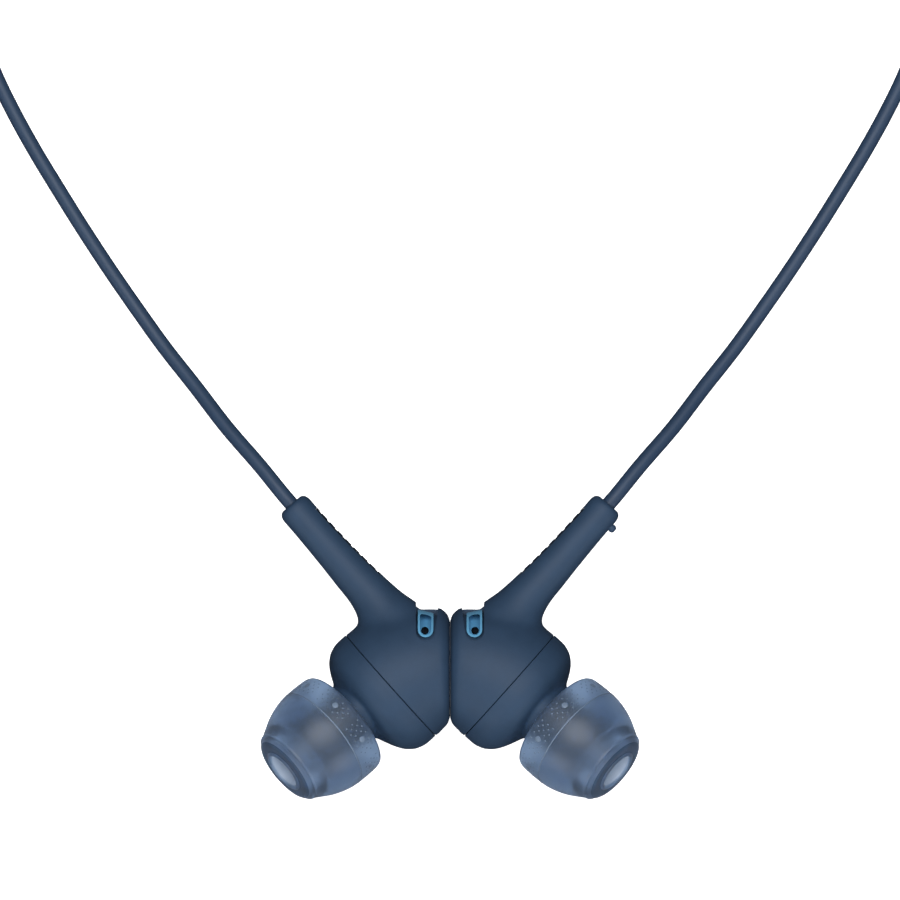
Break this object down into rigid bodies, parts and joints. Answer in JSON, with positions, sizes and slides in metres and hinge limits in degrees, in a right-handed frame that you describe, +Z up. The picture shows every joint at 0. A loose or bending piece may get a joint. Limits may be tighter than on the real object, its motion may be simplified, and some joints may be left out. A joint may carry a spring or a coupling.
{
  "type": "neckband earphones",
  "caption": "Neckband earphones: magnetic in-ear buds on round cables, an in-line control pod, a battery pod and a neck cable wound in a small coil.",
  "frame": {"origin": "on the surface the pair lies on, under the middle of the box around the buds and pods", "axes": "+Z up; +Y from the buds towards the pods; +X towards the wearer's left bud, so the right bud is at -X"},
  "size_m": [0.1182, 0.1664, 0.0179],
  "materials": {
    "shell_blue": "fine satin, soft to the touch",
    "button_blue": "satin rubberised keys",
    "duct_blue": "satin",
    "grip_dark": "matte",
    "silicone": "translucent satin silicone",
    "cable_blue": "matte",
    "steel": "fine",
    "magnet": "nickel plated",
    "copper": "enamelled winding wire",
    "film": "thin film",
    "dark_plastic": "matte",
    "board_green": "solder mask",
    "cell_silver": "laminated pouch",
    "light_pipe": "clear milky"
  },
  "bodies": {
    "neckband": {"control_bottom_case": "shell_blue", "control_top_case": "shell_blue", "main_board": "board_green", "usb_c_socket": "steel", "power_switch": "steel", "bluetooth_chip": "dark_plastic", "microphone": "steel", "status_led": "light_pipe", "light_pipe": "light_pipe", "control_relief_upper": "cable_blue", "control_relief_lower": "cable_blue", "volume_up_switch": "steel", "play_switch": "steel", "volume_down_switch": "steel", "battery_bottom_case": "shell_blue", "battery_top_case": "shell_blue", "battery_cell": "cell_silver", "protection_board": "board_green", "battery_relief_upper": "cable_blue", "battery_relief_lower": "cable_blue", "right_cable": "cable_blue", "left_cable": "cable_blue", "neck_cable_right": "cable_blue", "neck_cable_left": "cable_blue", "neck_coil": "cable_blue"},
    "right_bud": {"right_rear_shell": "shell_blue", "right_front_shell": "shell_blue", "right_bass_duct": "duct_blue", "right_stem_grip": "grip_dark", "right_nozzle_mesh": "steel", "right_driver_frame": "dark_plastic", "right_driver_yoke": "steel", "right_driver_magnet": "magnet", "right_pole_plate": "steel", "right_latch_magnet": "magnet", "right_cable_crimp": "steel", "right_inner_wires": "copper"},
    "left_bud": {"left_rear_shell": "shell_blue", "left_front_shell": "shell_blue", "left_bass_duct": "duct_blue", "left_stem_grip": "grip_dark", "left_nozzle_mesh": "steel", "left_driver_frame": "dark_plastic", "left_driver_yoke": "steel", "left_driver_magnet": "magnet", "left_pole_plate": "steel", "left_latch_magnet": "magnet", "left_cable_crimp": "steel", "left_inner_wires": "copper"},
    "right_tip": {"right_ear_tip": "silicone"},
    "left_tip": {"left_ear_tip": "silicone"},
    "right_cone": {"right_diaphragm": "film", "right_voice_coil": "copper"},
    "left_cone": {"left_diaphragm": "film", "left_voice_coil": "copper"},
    "volume_up": {"volume_up_button": "button_blue"},
    "play": {"play_button": "button_blue"},
    "volume_down": {"volume_down_button": "button_blue"},
    "power": {"power_button": "button_blue"}
  },
  "joints": [
    {"name": "right_bud_part", "type": "slide", "parent": "neckband", "child": "right_bud", "axis": [-1, 0, 0], "range_m": [0, 0.012], "deforming": ["right_cable"]},
    {"name": "right_tip_pull", "type": "slide", "parent": "right_bud", "child": "right_tip", "axis": [-0.7251, -0.5977, 0.342], "range_m": [0, 0.008]},
    {"name": "right_cone_stroke", "type": "slide", "parent": "right_bud", "child": "right_cone", "axis": [-0.7455, -0.6665, 0], "range_m": [-0.00015, 0.0002], "stiffness_N_per_m": 500},
    {"name": "left_bud_part", "type": "slide", "parent": "neckband", "child": "left_bud", "axis": [1, 0, 0], "range_m": [0, 0.012], "deforming": ["left_cable"]},
    {"name": "left_tip_pull", "type": "slide", "parent": "left_bud", "child": "left_tip", "axis": [0.7251, -0.5977, 0.342], "range_m": [0, 0.008]},
    {"name": "left_cone_stroke", "type": "slide", "parent": "left_bud", "child": "left_cone", "axis": [0.7455, -0.6665, 0], "range_m": [-0.00015, 0.0002], "stiffness_N_per_m": 500},
    {"name": "volume_up_press", "type": "slide", "parent": "neckband", "child": "volume_up", "axis": [0, 0, -1], "range_m": [0, 0.00025], "stiffness_N_per_m": 2000, "springref_m": -0.0002},
    {"name": "play_press", "type": "slide", "parent": "neckband", "child": "play", "axis": [0, 0, -1], "range_m": [0, 0.00025], "stiffness_N_per_m": 2000, "springref_m": -0.0002},
    {"name": "volume_down_press", "type": "slide", "parent": "neckband", "child": "volume_down", "axis": [0, 0, -1], "range_m": [0, 0.00025], "stiffness_N_per_m": 2000, "springref_m": -0.0002},
    {"name": "power_press", "type": "slide", "parent": "neckband", "child": "power", "axis": [1, 0, 0], "range_m": [0, 0.00025], "stiffness_N_per_m": 2000, "springref_m": -0.0002}
  ]
}
